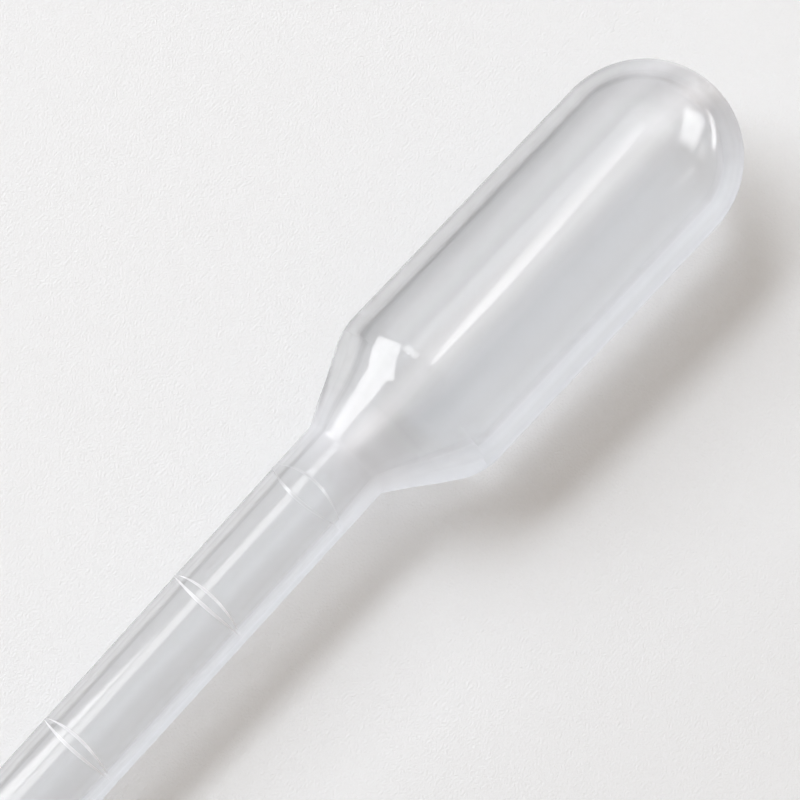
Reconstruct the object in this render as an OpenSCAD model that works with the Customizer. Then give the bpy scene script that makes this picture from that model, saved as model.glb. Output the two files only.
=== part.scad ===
// Dropper pipette, blown in one piece from soft clear plastic.
// The squeezable bulb has a round end and a sloping shoulder. Below the shoulder comes
// a hollow graduated stem, which is drawn down to a fine straight tip, open at its end.
// It lies on its side the way it comes to rest, on the bulb's shoulder and on the tip.
// Millimetres. +X runs from the tip to the bulb and +Z is up. The origin is on the
// surface that the pipette lies on, under the middle of its length.

/* [Bulb] */
// Outside diameter of the bulb
bulb_d = 14; // [9:0.1:20]
// Length of the bulb's straight side
bulb_straight = 22.3; // [10:0.1:40]
// Height of the round end above the straight side
dome_h = 7.2; // [4:0.1:12]
// Wall of the bulb's side
bulb_wall = 1.15; // [0.4:0.05:1.6]
// Wall at the top of the round end
dome_wall = 1.45; // [0.4:0.05:2]

/* [Shoulder] */
// Slope of the shoulder from the pipette's axis, in degrees
shoulder_angle = 31; // [20:1:50]
// Wall of the shoulder
shoulder_wall = 1.3; // [0.5:0.05:1.7]
// Outside radius where the bulb bends into the shoulder
shoulder_round = 5.5; // [1:0.1:6.5]
// Inside radius where the bulb bends into the shoulder
shoulder_round_inside = 2.5; // [0.5:0.1:4]
// Outside radius in the corner between the shoulder and the stem
neck_round = 0.8; // [0.2:0.1:2]
// Inside radius between the shoulder and the stem's bore
neck_round_inside = 0.6; // [0.2:0.1:2]

/* [Stem] */
// Outside diameter of the stem at the neck
stem_d = 6.7; // [5:0.1:8.5]
// Outside diameter of the stem where it starts to draw down to the tip
stem_low_d = 6.2; // [4.5:0.1:8]
// Length of the stem, from the neck to where it starts to draw down
stem_l = 78; // [40:1:110]
// Wall of the stem
stem_wall = 0.84; // [0.4:0.02:1.2]

/* [Tip] */
// Length over which the stem is drawn down to the tip
draw_l = 22; // [12:1:40]
// Radius that eases the drawn length into the stem and into the tip
draw_round = 25; // [5:1:40]
// Outside diameter of the straight tip
tip_d = 3.2; // [2.4:0.1:4]
// Length of the straight tip
tip_l = 16; // [6:1:40]
// Wall of the tip
tip_wall = 0.7; // [0.3:0.05:1]
// Radius on the tip's outer edge
tip_edge = 0.2; // [0.1:0.05:0.25]

/* [Graduation marks] */
// Distance of the first mark from the neck
mark_1_at = 4; // [2.5:0.1:9]
// Distance of the second mark from the neck
mark_2_at = 14.1; // [11:0.1:20]
// Distance of the third mark from the neck
mark_3_at = 27.2; // [22:0.1:38]
// Width of the first mark at its middle
mark_1_w = 1.9; // [0.6:0.05:2.4]
// Width of the other marks at their middle
mark_w = 1.05; // [0.5:0.05:2]
// Height of the marks above the stem
mark_h = 0.12; // [0.05:0.01:0.3]
// Angle from the parting line at which a mark runs out to nothing, in degrees
mark_end_angle = 6; // [3:1:30]

/* [Hidden] */
$fn = 96;

// Greatest turn between two neighbouring points of an arc, in degrees
arc_step = 3;
// How far a cutting shape runs on past the face that it cuts
past = 1;

bulb_r = bulb_d / 2;
stem_r = stem_d / 2;
stem_low_r = stem_low_d / 2;
tip_r = tip_d / 2;

// Heights along the axis, from the end of the tip
draw_z = tip_l + draw_l;
neck_z = draw_z + stem_l;
shoulder_z = neck_z + (bulb_r - stem_r) / tan(shoulder_angle);
bulb_z = shoulder_z + shoulder_round * tan(shoulder_angle / 2);
dome_z = bulb_z + bulb_straight;

// Height of the shoulder's inner face where its radius is r
function inner_shoulder_z(r) =
    neck_z + (r - stem_r) / tan(shoulder_angle) + shoulder_wall / sin(shoulder_angle);

// Outside radius of the stem at the height z
function stem_r_at(z) = stem_low_r + (stem_r - stem_low_r) * (z - draw_z) / stem_l;

// Unit vector from point a to point b
function toward(a, b) = (b - a) / norm(b - a);

// Vector v turned by an angle
function turned(v, angle) =
    [v.x * cos(angle) - v.y * sin(angle), v.x * sin(angle) + v.y * cos(angle)];

// Points of the arc that rounds corner c, which lies between a and b
function corner_arc(a, c, b, radius) =
    let (
        to_a = toward(c, a),
        to_b = toward(c, b),
        half = acos(to_a * to_b) / 2,
        middle = c + toward([0, 0], to_a + to_b) * radius / sin(half),
        start = c + to_a * radius / tan(half) - middle,
        side = sign(to_a.x * to_b.y - to_a.y * to_b.x),
        turn = side * (2 * half - 180),
        steps = ceil(abs(turn) / arc_step)
    )
    [for (i = [0:steps]) middle + turned(start, turn * i / steps)];

// Line through corners [radius, height, rounding], rounded at all but its two ends
function rounded(corners) = [
    for (i = [0:len(corners) - 1])
        let (c = [corners[i].x, corners[i].y])
        for (point = i == 0 || i == len(corners) - 1
            ? [c]
            : corner_arc(
                [corners[i - 1].x, corners[i - 1].y], c,
                [corners[i + 1].x, corners[i + 1].y], corners[i].z))
            point
];

// Quarter of an ellipse, from its side up to the axis
function dome(r, h, z) =
    let (steps = 90 / arc_step)
    [for (i = [0:steps]) [r * cos(i * arc_step), z + h * sin(i * arc_step)]];

// Half of the outer outline
outer_line = concat(
    rounded([
        [0, 0],
        [tip_r, 0, tip_edge],
        [tip_r, tip_l, draw_round],
        [stem_low_r, draw_z, draw_round],
        [stem_r, neck_z, neck_round],
        [bulb_r, shoulder_z, shoulder_round],
        [bulb_r, dome_z - past]
    ]),
    dome(bulb_r, dome_h, dome_z)
);

// Half of the hollow's outline, which runs out through the tip
hollow_line = concat(
    [[0, -past]],
    rounded([
        [tip_r - tip_wall, -past],
        [tip_r - tip_wall, tip_l, draw_round],
        [stem_low_r - stem_wall, draw_z, draw_round],
        [stem_r - stem_wall, inner_shoulder_z(stem_r - stem_wall), neck_round_inside],
        [bulb_r - bulb_wall, inner_shoulder_z(bulb_r - bulb_wall), shoulder_round_inside],
        [bulb_r - bulb_wall, dome_z - past]
    ]),
    dome(bulb_r - bulb_wall, dome_h - dome_wall, dome_z)
);

// The floor touches the tip's edge and the shoulder's rounding. Each is an arc, given
// as its centre [height, distance below the axis] and its radius.
tip_touch = [tip_edge, tip_r - tip_edge];
bulb_touch = [bulb_z, bulb_r - shoulder_round];
span = bulb_touch - tip_touch;
lie_angle = atan2(span.y, span.x) + asin((shoulder_round - tip_edge) / norm(span));
lie_z = tip_touch * [-sin(lie_angle), cos(lie_angle)] + tip_edge;

// Ends of the lying pipette along X, from the middle of the tip's end
far_end = dome_z * cos(lie_angle) + norm([dome_h * cos(lie_angle), bulb_r * sin(lie_angle)]);
near_end = tip_edge * cos(lie_angle) - tip_touch.y * sin(lie_angle) - tip_edge;

// Lays down what is drawn standing on its tip
module lying() {
    translate([-(far_end + near_end) / 2, 0, lie_z])
        rotate([0, 90 - lie_angle, 0])
            children();
}

// Outline with two pointed ends, as wide as w in its middle
module lens(half_l, w) {
    r = (half_l * half_l + w * w / 4) / w;
    intersection() {
        translate([0, r - w / 2]) circle(r);
        translate([0, w / 2 - r]) circle(r);
    }
}

// One raised mark: a band on each half of the stem, widest at its middle, which runs
// out to nothing near the parting line of the mould
module mark(at, w) {
    z = neck_z - at;
    reach = past + w;
    intersection() {
        translate([0, 0, z - reach])
            cylinder(h = 2 * reach, r1 = stem_r_at(z - reach) + mark_h, r2 = stem_r_at(z + reach) + mark_h);
        translate([0, 0, z])
            rotate([90, 0, 90])
                linear_extrude(2 * stem_d, center = true)
                    lens(stem_r_at(z) * cos(mark_end_angle), w);
    }
}

// The whole pipette, one hollow moulding
module pipette() {
    color([0.88, 0.9, 0.92, 0.6])
        lying()
            difference() {
                union() {
                    rotate_extrude() polygon(outer_line);
                    mark(mark_1_at, mark_1_w);
                    mark(mark_2_at, mark_w);
                    mark(mark_3_at, mark_w);
                }
                rotate_extrude() polygon(hollow_line);
            }
}

pipette();
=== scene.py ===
"""A dropper pipette blown from clear plastic, lying on pale paper in soft window light."""

from __future__ import annotations

import logging
from collections.abc import Iterable
from dataclasses import dataclass
from enum import Enum
from math import acos, asin, atan2, ceil, cos, degrees, hypot, pi, radians, sin, tan

import bpy
from mathutils import Matrix, Vector

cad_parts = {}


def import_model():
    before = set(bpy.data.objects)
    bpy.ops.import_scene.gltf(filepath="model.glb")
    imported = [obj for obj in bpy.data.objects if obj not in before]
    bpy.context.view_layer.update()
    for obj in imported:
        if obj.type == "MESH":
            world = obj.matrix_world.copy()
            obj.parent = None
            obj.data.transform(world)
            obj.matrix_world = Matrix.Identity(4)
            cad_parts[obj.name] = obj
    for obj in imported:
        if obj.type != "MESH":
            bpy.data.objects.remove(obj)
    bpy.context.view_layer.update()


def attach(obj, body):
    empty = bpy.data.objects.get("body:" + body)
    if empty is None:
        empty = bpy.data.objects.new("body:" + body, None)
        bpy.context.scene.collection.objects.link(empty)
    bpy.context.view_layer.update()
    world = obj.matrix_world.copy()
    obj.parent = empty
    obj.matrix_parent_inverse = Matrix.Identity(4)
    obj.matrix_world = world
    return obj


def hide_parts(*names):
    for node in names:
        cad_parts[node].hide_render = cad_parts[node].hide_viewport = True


LOG = logging.getLogger("pipette")
MM = 0.001

Point = tuple[float, float]
Colour = tuple[float, float, float]
Direction = tuple[float, float, float]
Stops = tuple[Point, ...]
Socket = bpy.types.NodeSocket
Outputs = bpy.types.NodeOutputs
Value = Socket | float


class Skin(Enum):
    """Which face of the wall a ring of the moulding lies on."""

    OUTER = 0
    HOLLOW = 1


@dataclass(frozen=True)
class Corner:
    """A corner of an outline: its radius, its height and how far it is rounded, in mm."""

    r: float
    z: float
    rounding: float = 0.0


@dataclass(frozen=True)
class Ring:
    """One ring of points of the moulding, before it is turned round the axis.

    r and z are the ring's radius and height in mm. side, half and lift shape a
    graduation mark: how far out of the mark's middle the ring is, as a share of its
    half width, that half width in mm, and the share of the mark's height it is raised by.
    frost is how matt the mould left it, and rise is how far it faces along the axis on the
    round end, as a sine.
    """

    r: float
    z: float
    skin: Skin = Skin.OUTER
    side: float = 0.0
    half: float = 0.0
    lift: float = 0.0
    frost: float = 0.0
    rise: float = 0.0


@dataclass(frozen=True)
class Mark:
    """A raised graduation mark.

    at is its distance from the neck and width its width, in mm. matt is how matt its edges
    are, from 0 to 1.
    """

    at: float
    width: float
    matt: float


@dataclass(frozen=True)
class EdgeRing:
    """One ring near the lower edge of a mark.

    up is how far up the edge's slope it lies, as a share of the slope, and below how far
    below that, in mm. lift is the share of the mark's height it is raised by, and frost is
    the share of the mark's mattness it has.
    """

    up: float
    below: float = 0.0
    lift: float = 0.0
    frost: float = 0.0


MARK_EDGE = (
    EdgeRing(0.0, below=0.25),
    EdgeRing(0.0, below=0.08),
    EdgeRing(-0.2),
    EdgeRing(0.0, frost=1.0),
    EdgeRing(0.5, lift=0.5, frost=1.0),
    EdgeRing(1.0, lift=1.0, frost=1.0),
    EdgeRing(1.2, lift=1.0),
)


def toward(a: Point, b: Point) -> Point:
    """Unit vector from a to b."""
    length = hypot(b[0] - a[0], b[1] - a[1])
    return (b[0] - a[0]) / length, (b[1] - a[1]) / length


def corner_arc(a: Corner, c: Corner, b: Corner, step: float) -> list[Point]:
    """Points of the arc that rounds a corner.

    Args:
        a: The corner before it.
        c: The corner that is rounded.
        b: The corner after it.
        step: Greatest turn between two points, in degrees.

    Returns:
        The arc's points, as radius and height in mm.
    """
    to_a = toward((c.r, c.z), (a.r, a.z))
    to_b = toward((c.r, c.z), (b.r, b.z))
    half = acos(to_a[0] * to_b[0] + to_a[1] * to_b[1]) / 2
    inward = toward((0.0, 0.0), (to_a[0] + to_b[0], to_a[1] + to_b[1]))
    reach = c.rounding / tan(half)
    middle = (
        c.r + inward[0] * c.rounding / sin(half),
        c.z + inward[1] * c.rounding / sin(half),
    )
    start = (c.r + to_a[0] * reach - middle[0], c.z + to_a[1] * reach - middle[1])
    side = 1 if to_a[0] * to_b[1] > to_a[1] * to_b[0] else -1
    turn = side * (2 * half - pi)
    steps = ceil(abs(degrees(turn)) / step)
    found = []
    for i in range(steps + 1):
        angle = turn * i / steps
        found.append((
            middle[0] + start[0] * cos(angle) - start[1] * sin(angle),
            middle[1] + start[0] * sin(angle) + start[1] * cos(angle),
        ))
    return found


def rounded(corners: list[Corner], step: float, longest: float) -> list[Point]:
    """Line through corners, rounded at all but its ends and cut into short lengths.

    Args:
        corners: The line's corners.
        step: Greatest turn between two points of an arc, in degrees.
        longest: Greatest length between two points of a straight, in mm.

    Returns:
        The line's points, as radius and height in mm.
    """
    bends = [[(corners[0].r, corners[0].z)]]
    for a, c, b in zip(corners, corners[1:], corners[2:]):
        bends.append(corner_arc(a, c, b, step) if c.rounding else [(c.r, c.z)])
    bends.append([(corners[-1].r, corners[-1].z)])
    line = list(bends[0])
    for bend in bends[1:]:
        (r0, z0), (r1, z1) = line[-1], bend[0]
        parts = ceil(hypot(r1 - r0, z1 - z0) / longest)
        line += [(r0 + (r1 - r0) * i / parts, z0 + (z1 - z0) * i / parts) for i in range(1, parts)]
        line += bend
    return line


@dataclass(frozen=True)
class Moulding:
    """The whole pipette: one hollow blow moulding. Sizes are in mm and degrees.

    Heights run along the axis from the end of the tip, as the moulding stands on it.
    mark_slope is the width of a mark's sloping edge, mark_end_angle the angle from the parting
    line at which a mark runs out, and mark_clear how far round a mark the plain stem's rings
    give way. neck_shift is how far the stem sits beside the bulb's axis at the neck, shift_over
    the length over which it comes to that, and stem_lean its lean back. unevenness is how far
    the hollow's face strays. neck_cloud and neck_frost are how milky and how matt the moulding
    is at the neck, neck_reach how far from it they end, dome_frost how matt the round end's
    middle is, and part_reach half the length over which stem turns into bulb. segments, arc_step
    and longest set how finely it is cut.
    """

    bulb_d: float = 14.0
    bulb_straight: float = 22.3
    dome_h: float = 7.2
    bulb_wall: float = 1.15
    dome_wall: float = 1.45
    shoulder_angle: float = 31.0
    shoulder_wall: float = 1.3
    shoulder_round: float = 5.5
    shoulder_round_inside: float = 2.5
    neck_round: float = 0.8
    neck_round_inside: float = 0.6
    stem_d: float = 6.7
    stem_low_d: float = 6.2
    stem_l: float = 78.0
    stem_wall: float = 0.84
    draw_l: float = 22.0
    draw_round: float = 25.0
    tip_d: float = 3.2
    tip_l: float = 16.0
    tip_wall: float = 0.7
    tip_edge: float = 0.2
    marks: tuple[Mark, ...] = (Mark(4.0, 1.9, 0.15), Mark(14.1, 1.05, 0.6), Mark(27.2, 1.05, 0.6))
    mark_h: float = 0.12
    mark_slope: float = 0.2
    mark_end_angle: float = 6.0
    mark_clear: float = 0.3
    neck_shift: float = 0.6
    shift_over: float = 5.0
    stem_lean: float = 1.3
    unevenness: float = 0.008
    seed: int = 3
    neck_cloud: float = 0.5
    neck_frost: float = 0.3
    neck_reach: float = 3.5
    dome_frost: float = 0.5
    part_reach: float = 1.0
    segments: int = 192
    arc_step: float = 1.5
    longest: float = 2.0
    name: str = "pipette_body"

    @property
    def draw_z(self) -> float:
        """Height at which the stem starts to draw down."""
        return self.tip_l + self.draw_l

    @property
    def neck_z(self) -> float:
        """Height of the corner between stem and shoulder."""
        return self.draw_z + self.stem_l

    @property
    def shoulder_z(self) -> float:
        """Height of the corner between shoulder and bulb."""
        return self.neck_z + (self.bulb_d - self.stem_d) / 2 / tan(radians(self.shoulder_angle))

    @property
    def bulb_z(self) -> float:
        """Height at which the bulb's straight side starts."""
        return self.shoulder_z + self.shoulder_round * tan(radians(self.shoulder_angle / 2))

    @property
    def dome_z(self) -> float:
        """Height at which the bulb's straight side ends."""
        return self.bulb_z + self.bulb_straight

    def inner_shoulder_z(self, r: float) -> float:
        """Height of the shoulder's inner face where its radius is r."""
        slope = radians(self.shoulder_angle)
        return self.neck_z + (r - self.stem_d / 2) / tan(slope) + self.shoulder_wall / sin(slope)

    def stem_r_at(self, z: float) -> float:
        """Outside radius of the stem at a height."""
        share = (z - self.draw_z) / self.stem_l
        return (self.stem_low_d + (self.stem_d - self.stem_low_d) * share) / 2

    def bore_edge(self, z: float) -> float:
        """Where the hollow's edge shows.

        Args:
            z: The height, in mm.

        Returns:
            Its place, as a share of the outside radius.
        """
        if z >= self.shoulder_z:
            return 1 - self.bulb_wall / (self.bulb_d / 2)
        if z <= self.neck_z:
            return 1 - self.stem_wall / self.stem_r_at(max(z, self.draw_z))
        slope = radians(self.shoulder_angle)
        r = self.stem_d / 2 + (z - self.neck_z) * tan(slope)
        return max(1 - self.shoulder_wall / cos(slope) / r, 1 - self.stem_wall / (self.stem_d / 2))

    def by_neck(self, z: float) -> float:
        """How near a height is to the neck, from 1 at the neck to 0 out of its reach."""
        return max(0.0, 1 - abs(z - self.neck_z) / self.neck_reach)

    def on_stem(self, z: float) -> float:
        """1 on the stem and 0 past the neck, with a short change between."""
        return min(1.0, max(0.0, (self.neck_z + self.part_reach - z) / (2 * self.part_reach)))

    def frost_at(self, ring: Ring) -> float:
        """How matt the moulding is at a ring: on a mark's edges, round the neck and on the dome."""
        return max(ring.frost, self.neck_frost * self.by_neck(ring.z), self.dome_frost * ring.rise**2)

    def lie(self) -> tuple[float, float]:
        """How the moulding lies on its tip's edge and its shoulder's rounding.

        Returns:
            The slope of its axis in radians, and the height of the tip's centre in mm.
        """
        tip = (self.tip_edge, self.tip_d / 2 - self.tip_edge)
        bulb = (self.bulb_z, self.bulb_d / 2 - self.shoulder_round)
        span = (bulb[0] - tip[0], bulb[1] - tip[1])
        slope = atan2(span[1], span[0]) + asin((self.shoulder_round - self.tip_edge) / hypot(*span))
        return slope, tip[1] * cos(slope) - tip[0] * sin(slope) + self.tip_edge

    def middle(self) -> float:
        """Middle of the length, as the moulding lies.

        Returns:
            Its distance along the floor from the tip's centre, in mm.
        """
        slope, _ = self.lie()
        far = self.dome_z * cos(slope) + hypot(self.dome_h * cos(slope), self.bulb_d / 2 * sin(slope))
        edge = self.tip_d / 2 - self.tip_edge
        near = self.tip_edge * cos(slope) - edge * sin(slope) - self.tip_edge
        return (far + near) / 2

    def mark_rings(self, mark: Mark) -> list[Ring]:
        """Rings of one mark.

        Args:
            mark: The mark.

        Returns:
            The rings, from its lower edge to its upper one.
        """
        z = self.neck_z - mark.at
        half = mark.width / 2
        slope = self.mark_slope / half
        lower = [(edge.up * slope - 1.0, edge.below, edge) for edge in MARK_EDGE]
        upper = [(-side, -below, edge) for side, below, edge in reversed(lower)]
        found = []
        for side, below, edge in lower + upper:
            at = z + side * half - below
            frost = edge.frost * mark.matt
            found.append(Ring(self.stem_r_at(at), at, Skin.OUTER, side, half, edge.lift, frost))
        return found

    def dome(self, r: float, h: float, skin: Skin) -> list[Ring]:
        """Rings of the round end.

        Args:
            r: Its radius at its side, in mm.
            h: Its height, in mm.
            skin: The face of the wall it is.

        Returns:
            The rings, from its side up to the axis.
        """
        steps = ceil(90 / self.arc_step)
        turns = [radians(90 * i / steps) for i in range(steps)]
        found = [Ring(r * cos(t), self.dome_z + h * sin(t), skin, rise=sin(t)) for t in turns]
        return found + [Ring(0.0, self.dome_z + h, skin, rise=1.0)]

    def outer_rings(self) -> list[Ring]:
        """Rings of the outside.

        Returns:
            The rings, from the edge of the tip's hole to the top of the dome.
        """
        bulb_r = self.bulb_d / 2
        outer = rounded([
            Corner(self.tip_d / 2 - self.tip_wall, 0),
            Corner(self.tip_d / 2, 0, self.tip_edge),
            Corner(self.tip_d / 2, self.tip_l, self.draw_round),
            Corner(self.stem_low_d / 2, self.draw_z, self.draw_round),
            Corner(self.stem_d / 2, self.neck_z, self.neck_round),
            Corner(bulb_r, self.shoulder_z, self.shoulder_round),
            Corner(bulb_r, self.dome_z),
        ], self.arc_step, self.longest)
        rings = [Ring(r, z) for r, z in outer[:-1]]
        for mark in self.marks:
            z = self.neck_z - mark.at
            rings = [ring for ring in rings if abs(ring.z - z) > 0.5 * mark.width + self.mark_clear]
            rings += self.mark_rings(mark)
        tip = [ring for ring in rings if ring.z <= 0]
        rest = sorted((ring for ring in rings if ring.z > 0), key=lambda ring: ring.z)
        return tip + rest + self.dome(bulb_r, self.dome_h, Skin.OUTER)

    def hollow_rings(self) -> list[Ring]:
        """Rings of the hollow.

        Returns:
            The rings, from above the tip's hole to the top of the dome.
        """
        bore = self.stem_d / 2 - self.stem_wall
        wide = self.bulb_d / 2 - self.bulb_wall
        hollow = rounded([
            Corner(self.tip_d / 2 - self.tip_wall, 0),
            Corner(self.tip_d / 2 - self.tip_wall, self.tip_l, self.draw_round),
            Corner(self.stem_low_d / 2 - self.stem_wall, self.draw_z, self.draw_round),
            Corner(bore, self.inner_shoulder_z(bore), self.neck_round_inside),
            Corner(wide, self.inner_shoulder_z(wide), self.shoulder_round_inside),
            Corner(wide, self.dome_z),
        ], self.arc_step, self.longest)
        rings = [Ring(r, z, Skin.HOLLOW) for r, z in hollow[1:-1]]
        return rings + self.dome(wide, self.dome_h - self.dome_wall, Skin.HOLLOW)

    def outline(self) -> bpy.types.Object:
        """Makes the outline that is turned: a mesh with one point for each ring.

        Returns:
            The outline, with what else is known of the rings stored on its points.
        """
        rings = list(reversed(self.outer_rings())) + self.hollow_rings()
        label = "pipette_outline"
        mesh = bpy.data.meshes.new(label)
        mesh.from_pydata([(ring.r * MM, 0.0, ring.z * MM) for ring in rings], [], [])
        told = {
            "mark": [(ring.side, ring.half * MM, ring.lift) for ring in rings],
            "looks": [(ring.skin.value, self.frost_at(ring), self.bore_edge(ring.z)) for ring in rings],
            "slant": [
                (ring.rise, self.neck_cloud * self.by_neck(ring.z), self.on_stem(ring.z))
                for ring in rings
            ],
        }
        for about, vectors in told.items():
            layer = mesh.attributes.new(about, "FLOAT_VECTOR", "POINT")
            layer.data.foreach_set("vector", [n for vector in vectors for n in vector])
        source = bpy.data.objects.new(label, mesh)
        bpy.context.collection.objects.link(source)
        return source

    def build(self, material: bpy.types.Material) -> bpy.types.Object:
        """Turns the outline round the axis, lays the moulding down and bakes it.

        Args:
            material: The plastic it is blown from.

        Returns:
            The finished mesh object, in metres in the frame of the CAD model.
        """
        source = self.outline()
        slope, height = self.lie()
        RevolveTree("Blown moulding").apply(source, {
            "Segments": self.segments,
            "Mark height": self.mark_h * MM,
            "Mark end": cos(radians(self.mark_end_angle)),
            "Neck": self.neck_z * MM,
            "Shift end": (self.neck_z + self.shift_over) * MM,
            "Neck shift": self.neck_shift * MM,
            "Stem lean": tan(radians(self.stem_lean)),
            "Unevenness": self.unevenness * MM,
            "Seed": self.seed,
            "Turn": pi / 2 - slope,
            "Along": -self.middle() * MM,
            "Height": height * MM,
            "Material": material,
        })
        return baked(source, self.name)


def baked(source: bpy.types.Object, name: str) -> bpy.types.Object:
    """Makes a plain mesh of an object's evaluated shape and removes the object.

    Args:
        source: The object with its Geometry Nodes modifier.
        name: The finished piece's name.

    Returns:
        The finished piece, with its faces pointing outwards.
    """
    graph = bpy.context.evaluated_depsgraph_get()
    mesh = bpy.data.meshes.new_from_object(source.evaluated_get(graph))
    mesh.name = name
    old = source.data
    source.modifiers.clear()
    bpy.data.objects.remove(source)
    bpy.data.meshes.remove(old)
    mesh.calc_loop_triangles()
    points = [v.co for v in mesh.vertices]
    # Each triangle makes a tetrahedron with the origin, which holds a sixth of its product.
    volume = sum(
        points[a].dot(points[b].cross(points[c])) for a, b, c in (t.vertices for t in mesh.loop_triangles)
    ) / 6
    if volume < 0:
        mesh.flip_normals()
    piece = bpy.data.objects.new(name, mesh)
    bpy.context.collection.objects.link(piece)
    LOG.info("%s: %d triangles, %.0f mm3", name, len(mesh.loop_triangles), abs(volume) / MM**3)
    return piece


class Wiring:
    """Adds nodes to a node tree, with their inputs set or linked."""

    def __init__(self, tree: bpy.types.NodeTree) -> None:
        """Takes the tree that is built."""
        self.tree = tree

    def link(self, source: Socket, target: Socket) -> None:
        """Links an output to an input."""
        self.tree.links.new(source, target)

    def node(self, kind: str, values: dict | None = None, **settings: object) -> bpy.types.Node:
        """Adds a node.

        Args:
            kind: The node's type.
            values: What its inputs take, by name or number: a socket to link or a value.
            settings: The node's own settings.

        Returns:
            The new node.
        """
        made = self.tree.nodes.new(kind)
        for label, value in settings.items():
            setattr(made, label, value)
        for label, value in (values or {}).items():
            if isinstance(value, Socket):
                self.link(value, made.inputs[label])
            else:
                made.inputs[label].default_value = value
        return made

    def math(self, operation: str, *values: Value) -> Socket:
        """Result of a Math node on sockets or numbers."""
        return self.node("ShaderNodeMath", dict(enumerate(values)), operation=operation).outputs[0]

    def parts(self, vector: Socket) -> Outputs:
        """X, Y and Z of a vector."""
        return self.node("ShaderNodeSeparateXYZ", {0: vector}).outputs

    def vector(self, x: Value = 0.0, y: Value = 0.0, z: Value = 0.0) -> Socket:
        """Vector made of three sockets or numbers."""
        return self.node("ShaderNodeCombineXYZ", {0: x, 1: y, 2: z}).outputs[0]

    def mapped(
        self,
        value: Socket,
        span: tuple[Value, Value] = (0.0, 1.0),
        to: tuple[Value, Value] = (0.0, 1.0),
        smooth: bool = False,
    ) -> Socket:
        """Value moved from one span to another and held inside it.

        Args:
            value: What is moved.
            span: Where the span starts and ends that it is read on.
            to: What it becomes at that start and that end.
            smooth: Whether it eases in and out between them.

        Returns:
            The result.
        """
        return self.node(
            "ShaderNodeMapRange",
            {"Value": value, "From Min": span[0], "From Max": span[1], "To Min": to[0], "To Max": to[1]},
            interpolation_type="SMOOTHSTEP" if smooth else "LINEAR",
        ).outputs[0]


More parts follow.
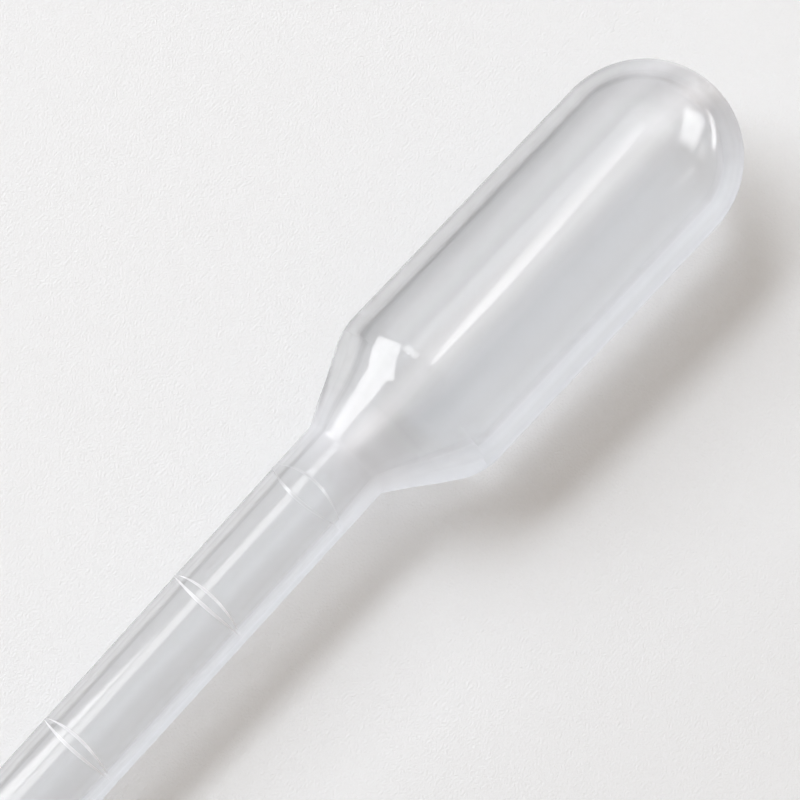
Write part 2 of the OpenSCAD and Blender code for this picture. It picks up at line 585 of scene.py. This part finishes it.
class RevolveTree(Wiring):
    """Geometry Nodes that turn an outline into the lying moulding.

    The outline has a point for each ring, at the ring's radius and height. The angle round the
    axis is 0 on the side that comes to lie lowest.
    """

    INPUTS = {
        "NodeSocketInt": ("Segments", "Seed"),
        "NodeSocketFloat": (
            "Mark height", "Mark end", "Neck", "Shift end", "Neck shift", "Stem lean", "Unevenness",
            "Turn", "Along", "Height",
        ),
        "NodeSocketMaterial": ("Material",),
    }
    # Cosines of the angle round the axis between which marks and frost come in.
    UPPER_HALF = (0.1, -0.2)
    # Least half width a mark is reckoned with, in metres, where a ring has none.
    LEAST_HALF = 1e-6
    # Share of its half width that a mark keeps past its points, so that its rings don't meet.
    KEPT_HALF = 0.03
    # A mark has its full height where its width is one part in this of its greatest.
    POINT_RISE = 4.0
    # Steps of the noise in a radius round the moulding and in a metre along it.
    WAVE_ROUND = 1.2
    WAVE_ALONG = 30.0
    # The unevenness grows by this share in a metre from the axis, up to all of it.
    WAVE_GAIN = 500.0
    # Points nearer than this are one, in metres.
    MERGE = 1e-6

    def __init__(self, name: str) -> None:
        """Builds the tree.

        Args:
            name: The tree's name.
        """
        super().__init__(bpy.data.node_groups.new(name, "GeometryNodeTree"))
        face = self.tree.interface
        face.new_socket("Geometry", in_out="INPUT", socket_type="NodeSocketGeometry")
        for kind, labels in self.INPUTS.items():
            for label in labels:
                face.new_socket(label, in_out="INPUT", socket_type=kind)
        face.new_socket("Geometry", in_out="OUTPUT", socket_type="NodeSocketGeometry")
        self.given = self.node("NodeGroupInput").outputs
        self._wire()

    def changed(self, kind: str, shape: Socket, values: dict | None = None, **settings: object) -> Socket:
        """Shape that a node of a kind makes of a shape, with its values and settings."""
        return self.node(kind, {"Geometry": shape, **(values or {})}, **settings).outputs[0]

    def sampled(self, value: Socket, ring: Socket) -> Outputs:
        """Reads a field of the outline.

        Args:
            value: The field.
            ring: Number of the ring at which it is read.

        Returns:
            X, Y and Z of what it is there.
        """
        found = self.node(
            "GeometryNodeSampleIndex",
            {"Geometry": self.given["Geometry"], "Value": value, "Index": ring},
            data_type="FLOAT_VECTOR", domain="POINT", clamp=True,
        )
        return self.parts(found.outputs["Value"])

    def told(self, label: str, ring: Socket) -> Outputs:
        """X, Y and Z of what is stored under a label, read at the ring with a given number."""
        named = self.node("GeometryNodeInputNamedAttribute", {"Name": label}, data_type="FLOAT_VECTOR")
        return self.sampled(named.outputs["Attribute"], ring)

    def _lens(self, r: Socket, half: Socket, across: Socket) -> Socket:
        """Shape of a mark: two arcs that meet at points.

        Args:
            r: Radius of the stem.
            half: Half the mark's greatest width.
            across: Distance across the stem from the mark's middle.

        Returns:
            Half the mark's width there.
        """
        m = self.math
        chord = m("MULTIPLY", r, self.given["Mark end"])
        safe = m("MAXIMUM", half, self.LEAST_HALF)
        squares = m("ADD", m("MULTIPLY", chord, chord), m("MULTIPLY", safe, safe))
        arc = m("DIVIDE", squares, m("MULTIPLY", safe, 2.0))
        under = m("MAXIMUM", m("SUBTRACT", m("MULTIPLY", arc, arc), m("MULTIPLY", across, across)), 0.0)
        width = m("SUBTRACT", m("SQRT", under), m("SUBTRACT", arc, safe))
        return m("MAXIMUM", width, m("MULTIPLY", safe, self.KEPT_HALF))

    def _wave(self, angle: Socket, r: Socket, z: Socket) -> Socket:
        """How far the hollow's face strays.

        Args:
            angle: Angle round the axis.
            r: Radius of the ring.
            z: Height of the ring.

        Returns:
            The distance, outwards.
        """
        m = self.math
        spot = self.vector(
            m("MULTIPLY", m("COSINE", angle), self.WAVE_ROUND),
            m("MULTIPLY", m("SINE", angle), self.WAVE_ROUND),
            m("MULTIPLY", z, self.WAVE_ALONG),
        )
        noise = self.node(
            "ShaderNodeTexNoise",
            {"Vector": spot, "W": self.given["Seed"], "Scale": 1.0, "Detail": 1.0, "Roughness": 0.4},
            noise_dimensions="4D",
        ).outputs[0]
        # The noise runs from 0 to 1, and the face strays both ways.
        wave = m("MULTIPLY", m("SUBTRACT", noise, 0.5), m("MULTIPLY", self.given["Unevenness"], 2.0))
        return m("MULTIPLY", wave, m("MINIMUM", m("MULTIPLY", r, self.WAVE_GAIN), 1.0))

    def _beside(self, height: Socket) -> Socket:
        """How far the moulding sits beside the bulb's axis.

        Args:
            height: The height.

        Returns:
            The distance.
        """
        m, given = self.math, self.given
        span = (given["Neck"], given["Shift end"])
        shift = self.mapped(height, span, (given["Neck shift"], 0.0), smooth=True)
        below = m("MAXIMUM", m("SUBTRACT", given["Neck"], height), 0.0)
        return m("SUBTRACT", shift, m("MULTIPLY", below, given["Stem lean"]))

    def _outward(self, angle: Socket, rise: Socket) -> Socket:
        """Direction away from the axis, as the moulding lies.

        Args:
            angle: Angle round the axis.
            rise: How far the direction goes along the axis, as a sine.

        Returns:
            The direction, as a unit vector.
        """
        m = self.math
        level = m("SQRT", m("MAXIMUM", m("SUBTRACT", 1.0, m("MULTIPLY", rise, rise)), 0.0))
        outward = self.vector(
            m("MULTIPLY", level, m("COSINE", angle)), m("MULTIPLY", level, m("SINE", angle)), rise
        )
        values = {"Vector": outward, "Angle": self.given["Turn"]}
        return self.node("ShaderNodeVectorRotate", values, rotation_type="Y_AXIS").outputs[0]

    def _wire(self) -> None:
        """Lays out the nodes."""
        m, given = self.math, self.given
        outline = given["Geometry"]
        count = self.node("GeometryNodeAttributeDomainSize", {"Geometry": outline}).outputs["Point Count"]
        columns = m("ADD", given["Segments"], 1)
        shape = self.node(
            "GeometryNodeMeshGrid",
            {"Size X": 1.0, "Size Y": 1.0, "Vertices X": columns, "Vertices Y": count},
        ).outputs["Mesh"]
        place = self.node("GeometryNodeInputPosition").outputs[0]
        # The grid is one by one about its middle. X becomes the angle and Y the ring's number.
        on_grid = self.parts(place)
        angle = m("MULTIPLY", m("ADD", on_grid["X"], 0.5), 2 * pi)
        ring = m("ROUND", m("MULTIPLY", m("ADD", on_grid["Y"], 0.5), m("SUBTRACT", count, 1)))
        r, _, z = self.sampled(place, ring)
        side, half, lift = self.told("mark", ring)
        skin, frost, edge = self.told("looks", ring)
        rise, cloud, stem = self.told("slant", ring)

        width = self._lens(r, half, m("MULTIPLY", r, m("SINE", angle)))
        height = m("ADD", z, m("MULTIPLY", side, m("SUBTRACT", width, half)))
        steep = m("DIVIDE", m("MULTIPLY", width, self.POINT_RISE), m("MAXIMUM", half, self.LEAST_HALF))
        upper = self.mapped(m("COSINE", angle), self.UPPER_HALF, smooth=True)
        bump = m("MULTIPLY", m("MULTIPLY", lift, m("MINIMUM", steep, 1.0)), upper)
        raised = m("ADD", r, m("MULTIPLY", bump, given["Mark height"]))
        wide = m("ADD", raised, m("MULTIPLY", self._wave(angle, r, z), skin))
        standing = self.vector(
            m("MULTIPLY", wide, m("COSINE", angle)),
            m("ADD", m("MULTIPLY", wide, m("SINE", angle)), self._beside(height)),
            height,
        )

        looks = self.vector(skin, m("MULTIPLY", frost, upper), edge)
        stored = (
            ("looks", looks, "FLOAT_VECTOR"),
            ("outward", self._outward(angle, rise), "FLOAT_VECTOR"),
            ("cloud", cloud, "FLOAT"),
            ("stem", stem, "FLOAT"),
        )
        for label, value, kind in stored:
            values = {"Name": label, "Value": value}
            shape = self.changed(
                "GeometryNodeStoreNamedAttribute", shape, values, data_type=kind, domain="POINT"
            )
        shape = self.changed("GeometryNodeSetPosition", shape, {"Position": standing})
        shape = self.changed("GeometryNodeMergeByDistance", shape, {"Distance": self.MERGE})
        turn = self.vector(y=given["Turn"])
        move = self.vector(x=given["Along"], z=given["Height"])
        shape = self.changed("GeometryNodeTransform", shape, {"Translation": move, "Rotation": turn})
        shape = self.changed("GeometryNodeSetShadeSmooth", shape)
        shape = self.changed("GeometryNodeRealizeInstances", shape)
        shape = self.changed("GeometryNodeSetMaterial", shape, {"Material": given["Material"]})
        self.node("NodeGroupOutput", {"Geometry": shape})

    def apply(self, target: bpy.types.Object, values: dict) -> None:
        """Puts the tree on an object.

        Args:
            target: The object that holds the outline.
            values: What each named input takes.
        """
        modifier = target.modifiers.new("Blow moulding", "NODES")
        modifier.node_group = self.tree
        keys = {
            item.name: item.identifier
            for item in self.tree.interface.items_tree
            if item.item_type == "SOCKET" and item.in_out == "INPUT"
        }
        for label, value in values.items():
            modifier[keys[label]] = value


class ShaderTree(Wiring):
    """Adds shader nodes to a material, a lamp, the world or a group."""

    def attribute(self, label: str) -> Outputs:
        """Outputs of what the mesh stores under a label."""
        return self.node("ShaderNodeAttribute", attribute_name=label).outputs

    def combined(self, operation: str, values: dict) -> Outputs:
        """Outputs of a Vector Math node, with its values by name or number."""
        return self.node("ShaderNodeVectorMath", values, operation=operation).outputs

    def mix(self, share: Socket, first: Socket, second: Socket) -> Socket:
        """Mix of two shaders: all of the first where the share is 0, all of the second at 1."""
        return self.node("ShaderNodeMixShader", {0: share, 1: first, 2: second}).outputs[0]

    def ramp(self, value: Socket, stops: Stops) -> Socket:
        """Grey that changes with a value.

        Args:
            value: The value.
            stops: Position and level of each stop.

        Returns:
            The ramp's colour.
        """
        made = self.node("ShaderNodeValToRGB", {"Fac": value})
        elements = made.color_ramp.elements
        elements.remove(elements[1])
        elements[0].position = stops[0][0]
        elements[0].color = (stops[0][1],) * 3 + (1,)
        for at, level in stops[1:]:
            elements.new(at).color = (level, level, level, 1)
        return made.outputs["Color"]


def grain_group() -> bpy.types.NodeTree:
    """Makes the shader group of a fine, even grain.

    Returns:
        The group, which takes a scale and puts out a height.
    """
    group = bpy.data.node_groups.new("Fine grain", "ShaderNodeTree")
    group.interface.new_socket("Scale", in_out="INPUT", socket_type="NodeSocketFloat")
    group.interface.new_socket("Height", in_out="OUTPUT", socket_type="NodeSocketFloat")
    tree = ShaderTree(group)
    scale = tree.node("NodeGroupInput").outputs["Scale"]
    place = tree.node("ShaderNodeTexCoord").outputs["Object"]
    noise = tree.node(
        "ShaderNodeTexNoise", {"Vector": place, "Scale": scale, "Detail": 2.0, "Roughness": 0.6}
    )
    tree.node("NodeGroupOutput", {"Height": noise.outputs[0]})
    return group


class Surface(ShaderTree):
    """Shader nodes of the plastic, with sockets that tell what a point of the moulding is.

    skin is 0 on the outer face and 1 in the hollow, and outside is 1 on the outer face seen from
    outside. frost is how matt it is, cloud how milky it is by the neck, stem 1 on the stem and
    edge the share of the radius at which the hollow's edge shows. outward is the direction away
    from the axis, aside its part towards the window and away 1 on the side away from the window.
    beyond grows from the middle of the width outwards and is EDGE_AT at the hollow's edge.
    """

    EDGE_AT = 0.5

    def __init__(self, tree: bpy.types.NodeTree, away_over: Point) -> None:
        """Reads what the moulding stores and works out the rest.

        Args:
            tree: The material's tree.
            away_over: Parts towards the window between which the side away from it starts.
        """
        super().__init__(tree)
        m = self.math
        self.skin, self.frost, self.edge = self.parts(self.attribute("looks")["Vector"])
        self.cloud = self.attribute("cloud")["Fac"]
        self.stem = self.attribute("stem")["Fac"]
        self.outward = self.attribute("outward")["Vector"]
        self.aside = self.parts(self.outward)["Y"]
        self.away = self.mapped(self.aside, away_over, smooth=True)
        behind = self.node("ShaderNodeNewGeometry").outputs["Backfacing"]
        self.outside = m("SUBTRACT", 1.0, m("MAXIMUM", self.skin, behind))
        # At a blend of 0.5, Facing is one less the cosine.
        weight = self.node("ShaderNodeLayerWeight", {"Blend": 0.5, "Normal": self.outward})
        head_on = m("SUBTRACT", 1.0, weight.outputs["Facing"])
        sideways = m("SQRT", m("SUBTRACT", 1.0, m("MULTIPLY", head_on, head_on)))
        self.beyond = m("ADD", m("SUBTRACT", sideways, self.edge), self.EDGE_AT)


@dataclass(frozen=True)
class ClearPlastic:
    """Natural low-density polyethylene: glossy, seen through and slightly milky.

    clear is how far it is seen through. milk is the milk's colour. milk_near and milk_far are
    its share on the side towards the window and on the side away from it, and painted_shade_near and
    painted_shade_far how bright it is there, against how far beyond the hollow's edge it lies. That
    brightness is painted shade: a dark line at the hollow's edge on the side towards the window,
    where milk_near peaks, and a darker middle on the side away from it. away_over
    holds the parts towards the window between which the side away from it starts. stem_edge
    tells bulb from stem by where the hollow's edge is, and stem_share is how much of milk_near
    shows on the stem. milk_rise is how much of facing up counts in how the milk is turned,
    most_milk its greatest share and frost_seen how much of the frost shows. lit and stem_lit are
    how far daylight from above lights the milk of bulb and stem, against which way it is turned,
    cloud_lit how far it lights the cloud by the neck and lit_share how much milk that adds.
    far_shine is the greatest gloss of the milk on the side away from the window. gathers is the
    way the lamps' light goes and gather_over how far the outer face has to face that way to let
    it through. let_by and stem_let_by are the shares let through on bulb and stem, and let_out
    the share that all other faces let through.
    """

    colour: Colour = (0.972, 0.98, 0.99)
    outer_roughness: float = 0.05
    inner_roughness: float = 0.08
    ior: float = 1.51
    clear: float = 0.96
    milk: Colour = (0.98, 0.98, 1.0)
    milk_near: Stops = (
        (0.0, 0.28), (0.15, 0.3), (0.26, 0.38), (0.4, 0.52), (0.47, 0.6), (0.505, 0.8), (0.55, 0.45),
        (0.6, 0.4), (0.64, 0.35), (0.66, 0.45),
    )
    milk_far: Stops = (
        (0.0, 0.28), (0.25, 0.3), (0.4, 0.42), (0.47, 0.92), (0.53, 0.85), (0.57, 0.75), (0.62, 0.8),
        (0.65, 0.95),
    )
    # Painted shade in the milk's brightness: a dip to a dark line at the hollow's edge on the side towards
    # the window, and a darker middle on the side away from it.
    painted_shade_near: Stops = ((0.0, 1.0), (0.46, 0.95), (0.49, 0.75), (0.52, 0.75), (0.56, 1.0))
    painted_shade_far: Stops = ((0.0, 0.86), (0.4, 0.88), (0.47, 1.0))
    away_over: Point = (0.15, -0.15)
    stem_edge: Point = (0.83, 0.76)
    stem_share: float = 0.55
    milk_rise: float = 0.35
    most_milk: float = 0.95
    frost_seen: float = 0.9
    lit: Stops = (
        (0.295, 0.0), (0.342, 0.12), (0.366, 0.3), (0.39, 0.55), (0.425, 0.8), (0.474, 0.85), (0.505, 0.7),
        (0.541, 0.45), (0.567, 0.3), (0.61, 0.15), (0.674, 0.3), (0.73, 0.25), (0.76, 0.12), (0.814, 0.0),
    )
    stem_lit: Stops = ((0.55, 0.0), (0.65, 0.1), (0.72, 0.16), (0.75, 0.1), (0.78, 0.0))
    lit_share: float = 0.15
    cloud_lit: float = 0.35
    far_shine: float = 0.1
    gathers: Direction = (0.0, -0.087, -0.996)
    gather_over: Point = (0.58, 0.85)
    let_by: float = 0.68
    stem_let_by: float = 0.27
    let_out: float = 0.985
    name: str = "clear_polyethylene"

    def build(self) -> bpy.types.Material:
        """Makes the material: clear plastic under milk, frost on both, and what shadows see.

        Returns:
            The material.
        """
        material = bpy.data.materials.new(self.name)
        material.use_nodes = True
        at = Surface(material.node_tree, self.away_over)
        clear = material.node_tree.nodes["Principled BSDF"]
        clear.inputs["Base Color"].default_value = (*self.colour, 1)
        clear.inputs["IOR"].default_value = self.ior
        clear.inputs["Transmission Weight"].default_value = self.clear
        rough = at.mapped(at.skin, to=(self.outer_roughness, self.inner_roughness))
        at.link(rough, clear.inputs["Roughness"])
        day = self._day(at)
        milky = at.mix(self._share(at, day), clear.outputs[0], self._milk(at, day))
        matt = at.node("ShaderNodeBsdfDiffuse", {"Color": (*self.milk, 1)}).outputs[0]
        frosted = at.mix(at.math("MULTIPLY", at.frost, self.frost_seen), milky, matt)
        by = at.node("ShaderNodeBsdfTransparent", {"Color": self._passed(at)}).outputs[0]
        shadow = at.node("ShaderNodeLightPath").outputs["Is Shadow Ray"]
        out = material.node_tree.nodes["Material Output"]
        at.link(at.mix(shadow, frosted, by), out.inputs["Surface"])
        return material

    def _day(self, at: Surface) -> Socket:
        """How far daylight from above lights the milk.

        Args:
            at: The surface.

        Returns:
            The share, from 0 to 1.
        """
        # From -1 to 1 on to the 0 to 1 of a ramp.
        turned = at.math("MULTIPLY_ADD", at.aside, 0.5, 0.5)
        day = at.mapped(at.stem, to=(at.ramp(turned, self.lit), at.ramp(turned, self.stem_lit)))
        day = at.math("ADD", day, at.math("MULTIPLY", at.cloud, self.cloud_lit))
        return at.math("MINIMUM", day, 1.0)

    def _share(self, at: Surface, day: Socket) -> Socket:
        """Share of milk, which is on the outer face only.

        Args:
            at: The surface.
            day: How far daylight lights the milk.

        Returns:
            The share, from 0 to 1.
        """
        base = self.milk_near[0][1]
        on_stem = at.mapped(at.edge, self.stem_edge, (1.0, self.stem_share))
        near = at.math("SUBTRACT", at.ramp(at.beyond, self.milk_near), base)
        near = at.math("ADD", at.math("MULTIPLY", near, on_stem), base)
        seen = at.mapped(at.away, to=(near, at.ramp(at.beyond, self.milk_far)))
        seen = at.math("ADD", seen, at.math("MULTIPLY", day, self.lit_share))
        seen = at.math("MINIMUM", at.math("ADD", seen, at.cloud), self.most_milk)
        return at.math("MULTIPLY", seen, at.outside)

    def _milk(self, at: Surface, day: Socket) -> Socket:
        """The milk: lit from behind, by daylight from above, and glossy.

        Args:
            at: The surface.
            day: How far daylight lights the milk.

        Returns:
            The milk's shader.
        """
        flank = at.combined("MULTIPLY", {0: at.outward, 1: (1.0, 1.0, self.milk_rise)})[0]
        flank = at.combined("NORMALIZE", {0: flank})[0]
        # The milk's colour is scaled here by painted shade: darker at the hollow's edge on the side
        # towards the window and in the middle on the side away from it.
        painted_shades = (at.ramp(at.beyond, self.painted_shade_near), at.ramp(at.beyond, self.painted_shade_far))
        painted_shade_milk = at.combined("SCALE", {0: self.milk, "Scale": at.mapped(at.away, to=painted_shades)})[0]
        behind = at.node("ShaderNodeBsdfTranslucent", {"Color": painted_shade_milk, "Normal": flank}).outputs[0]
        above = at.node("ShaderNodeBsdfDiffuse", {"Color": (*self.milk, 1)}).outputs[0]
        gloss = at.node("ShaderNodeBsdfGlossy", {"Roughness": self.outer_roughness}).outputs[0]
        shine = at.node("ShaderNodeFresnel", {"IOR": self.ior}).outputs[0]
        shine = at.math("MINIMUM", shine, at.mapped(at.away, to=(1.0, self.far_shine)))
        return at.mix(shine, at.mix(day, behind, above), gloss)

    def _passed(self, at: Surface) -> Socket:
        """Share of a lamp's light that a face lets through.

        Args:
            at: The surface.

        Returns:
            The share, from 0 to 1.
        """
        below = at.combined("DOT_PRODUCT", {0: at.outward, 1: self.gathers})["Value"]
        let_by = at.mapped(at.edge, self.stem_edge, (self.let_by, self.stem_let_by))
        let_by = at.math("MULTIPLY", let_by, at.math("SUBTRACT", 1.0, at.cloud))
        gathered = at.mapped(below, self.gather_over, (0.0, let_by), smooth=True)
        return at.mapped(at.outside, to=(self.let_out, gathered))


@dataclass(frozen=True)
class Paper:
    """Pale paper with a fine fibre grain. grain_size and grain_depth are in mm."""

    colour: Colour = (0.87, 0.87, 0.87)
    roughness: float = 0.9
    specular: float = 0.1
    grain_size: float = 0.17
    grain_depth: float = 0.06
    name: str = "pale_paper"

    def build(self) -> bpy.types.Material:
        """Makes the material.

        Returns:
            The material.
        """
        material = bpy.data.materials.new(self.name)
        material.use_nodes = True
        shader = material.node_tree.nodes["Principled BSDF"]
        shader.inputs["Base Color"].default_value = (*self.colour, 1)
        shader.inputs["Roughness"].default_value = self.roughness
        shader.inputs["Specular IOR Level"].default_value = self.specular
        tree = ShaderTree(material.node_tree)
        scale = 1 / (self.grain_size * MM)
        grain = tree.node("ShaderNodeGroup", {"Scale": scale}, node_tree=grain_group()).outputs["Height"]
        bump = tree.node(
            "ShaderNodeBump", {"Height": grain, "Distance": self.grain_depth * MM, "Strength": 1.0}
        )
        tree.link(bump.outputs[0], shader.inputs["Normal"])
        return material


@dataclass(frozen=True)
class Panel:
    """A soft box, seen from the pipette.

    across is its angle from straight up, towards +Y. axial is the angle its middle leans
    towards the bulb end. width and length are angles too, in degrees. roll turns it about
    its own middle. radiance is how bright it looks. soft holds the shares of its length and
    width over which it dims towards its edges: tip end, round end, low side, high side.
    lights says whether it lights matt surfaces or is only mirrored, in outer faces. distance
    is how far off it hangs, in metres.
    """

    # Depths of a light path are whole numbers, so this tells none from one.
    NO_DEPTH = 0.5

    name: str
    across: float
    axial: float
    width: float
    length: float
    radiance: float
    roll: float = 0.0
    colour: Colour = (1.0, 1.0, 1.0)
    lights: bool = True
    soft: tuple[float, float, float, float] = (0.0, 0.0, 0.0, 0.0)
    distance: float = 1.2

    def hang(self, aim: Vector) -> None:
        """Hangs the lamp.

        Args:
            aim: The point it faces.
        """
        across, axial = radians(self.across), radians(self.axial)
        away = Vector((sin(axial), cos(axial) * sin(across), cos(axial) * cos(across)))
        lamp = bpy.data.lights.new(self.name, "AREA")
        lamp.shape = "RECTANGLE"
        lamp.size = 2 * self.distance * tan(radians(self.length / 2))
        lamp.size_y = 2 * self.distance * tan(radians(self.width / 2))
        lamp.energy = self.radiance * pi * lamp.size * lamp.size_y
        lamp.color = self.colour
        box = bpy.data.objects.new(self.name, lamp)
        bpy.context.collection.objects.link(box)
        y_axis = away.cross(Vector((1, 0, 0))).normalized()
        x_axis = y_axis.cross(away)
        turn = Matrix((x_axis, y_axis, away)).transposed().to_4x4()
        roll = Matrix.Rotation(radians(self.roll), 4, "Z")
        box.matrix_world = Matrix.Translation(aim + away * self.distance) @ turn @ roll
        box.visible_camera = False
        box.visible_diffuse = self.lights
        box.visible_glossy = not self.lights
        box.visible_transmission = False
        if not self.lights:
            self._soften(lamp)

    def _soften(self, lamp: bpy.types.AreaLight) -> None:
        """Dims the lamp towards its edges and keeps it to what the outer faces mirror.

        Args:
            lamp: The lamp.
        """
        lamp.use_nodes = True
        tree = ShaderTree(lamp.node_tree)
        path = tree.node("ShaderNodeLightPath").outputs
        strength = tree.math(
            "MULTIPLY",
            tree.math("LESS_THAN", path["Diffuse Depth"], self.NO_DEPTH),
            tree.math("LESS_THAN", path["Transmission Depth"], self.NO_DEPTH),
        )
        along, over, _ = tree.parts(tree.node("ShaderNodeNewGeometry").outputs["Parametric"])
        edges = (along, tree.math("SUBTRACT", 1.0, along), over, tree.math("SUBTRACT", 1.0, over))
        for inside, share in zip(edges, self.soft):
            if share:
                strength = tree.math("MULTIPLY", strength, tree.mapped(inside, (0.0, share)))
        tree.link(strength, lamp.node_tree.nodes["Emission"].inputs["Strength"])


DAYLIGHT = (0.94, 1.0, 1.072)
LOW_DAYLIGHT = (0.965, 1.0, 1.035)
EVEN_SOFT = (0.15, 0.15, 0.15, 0.15)


@dataclass(frozen=True)
class Studio:
    """The floor, the window light, the room's soft light and the camera.

    The first three panels are the window, which lights the paper and the milk. The others are
    only mirrored. room is how bright the room is, and room_through how bright where it is seen
    through the plastic. azimuth and elevation are the camera's, in degrees, focal and sensor are
    in mm and the other sizes in metres.
    """

    floor_side: float = 3.0
    panels: tuple[Panel, ...] = (
        Panel("window", 28.0, -4.0, 12.0, 40.0, 6.3, colour=DAYLIGHT),
        Panel("window_glow", 41.0, -4.0, 30.0, 55.0, 2.4, colour=DAYLIGHT),
        Panel("window_low", 81.0, -4.0, 14.0, 60.0, 4.2, colour=LOW_DAYLIGHT),
        Panel("plateau", 1.2, 23.0, 67.6, 30.0, 1.35, lights=False, soft=(0.0, 0.1, 0.41, 0.0)),
        Panel("stem_strip", 28.0, 3.0, 20.0, 9.6, 4.4, lights=False, soft=(0.0, 0.05, 0.05, 0.05)),
        Panel(
            "slant_strip", 12.5, 13.0, 4.2, 27.0, 5.2, roll=73.5, lights=False,
            soft=(0.0, 1.0, 0.15, 0.05),
        ),
        Panel(
            "side_strip", 54.0, -23.5, 37.0, 50.0, 6.9, roll=7.0, lights=False,
            soft=(0.03, 0.03, 0.06, 0.04),
        ),
        Panel(
            "dome_strip", -32.0, 49.3, 26.0, 46.0, 7.0, roll=15.0, lights=False,
            soft=(0.25, 0.15, 0.2, 0.2),
        ),
        Panel("dome_dim", -61.0, 38.0, 11.0, 14.0, 2.0, lights=False, soft=EVEN_SOFT),
        Panel("dome_dim_low", -61.5, 18.5, 9.0, 7.0, 2.0, lights=False, soft=EVEN_SOFT),
        Panel("dome_rim", -78.3, 64.5, 8.0, 38.0, 8.0, lights=False, soft=(0.2, 0.2, 0.2, 0.2)),
    )
    room: float = 0.43
    room_through: float = 0.5
    room_colour: Colour = (1.1, 1.0, 0.91)
    aim: tuple[float, float, float] = (0.045512, 0.001155, 0.005)
    azimuth: float = 47.297
    elevation: float = 72.0
    distance: float = 0.3
    clip_start: float = 0.01
    focal: float = 194.26
    sensor: float = 36.0

    def floor(self, paper: bpy.types.Material) -> None:
        """Lays the paper.

        Args:
            paper: The paper's material.
        """
        h = self.floor_side / 2
        mesh = bpy.data.meshes.new("floor")
        mesh.from_pydata([(-h, -h, 0), (h, -h, 0), (h, h, 0), (-h, h, 0)], [], [(0, 1, 2, 3)])
        mesh.materials.append(paper)
        floor = bpy.data.objects.new("floor", mesh)
        bpy.context.collection.objects.link(floor)

    def lights(self) -> None:
        """Hangs the soft boxes and sets the room's light."""
        for panel in self.panels:
            panel.hang(Vector(self.aim))
        world = bpy.data.worlds.new("room")
        world.use_nodes = True
        shade = world.node_tree.nodes["Background"]
        shade.inputs["Color"].default_value = (*self.room_colour, 1)
        tree = ShaderTree(world.node_tree)
        through = tree.node("ShaderNodeLightPath").outputs["Is Transmission Ray"]
        strength = tree.mapped(through, to=(self.room, self.room_through))
        tree.link(strength, shade.inputs["Strength"])
        world.cycles.sampling_method = "NONE"
        bpy.context.scene.world = world

    def camera(self) -> None:
        """Sets the camera up."""
        turn, lift = radians(self.azimuth), radians(self.elevation)
        forward = Vector((sin(turn) * cos(lift), cos(turn) * cos(lift), -sin(lift)))
        lens = bpy.data.cameras.new("camera")
        lens.sensor_width = self.sensor
        lens.lens = self.focal
        lens.clip_start = self.clip_start
        camera = bpy.data.objects.new("camera", lens)
        bpy.context.collection.objects.link(camera)
        camera.location = Vector(self.aim) - forward * self.distance
        camera.rotation_euler = forward.to_track_quat("-Z", "Y").to_euler()
        bpy.context.scene.camera = camera

    def build(self) -> None:
        """Builds the studio."""
        self.camera()
        self.floor(Paper().build())
        self.lights()
        scene = bpy.context.scene
        scene.view_settings.view_transform = "Standard"
        scene.cycles.blur_glossy = 0.0
        scene.cycles.max_bounces = 12
        scene.cycles.diffuse_bounces = 3
        scene.cycles.transmission_bounces = 12
        scene.cycles.transparent_max_bounces = 32


def main() -> None:
    """Builds the studio and the pipette in order."""
    logging.basicConfig(level=logging.INFO, format="%(name)s: %(message)s")
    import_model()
    Studio().build()
    body = Moulding().build(ClearPlastic().build())
    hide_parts("pipette")
    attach(body, "root")
    LOG.info("%s: %d faces", body.name, len(body.data.polygons))


if __name__ == "__main__":
    main()
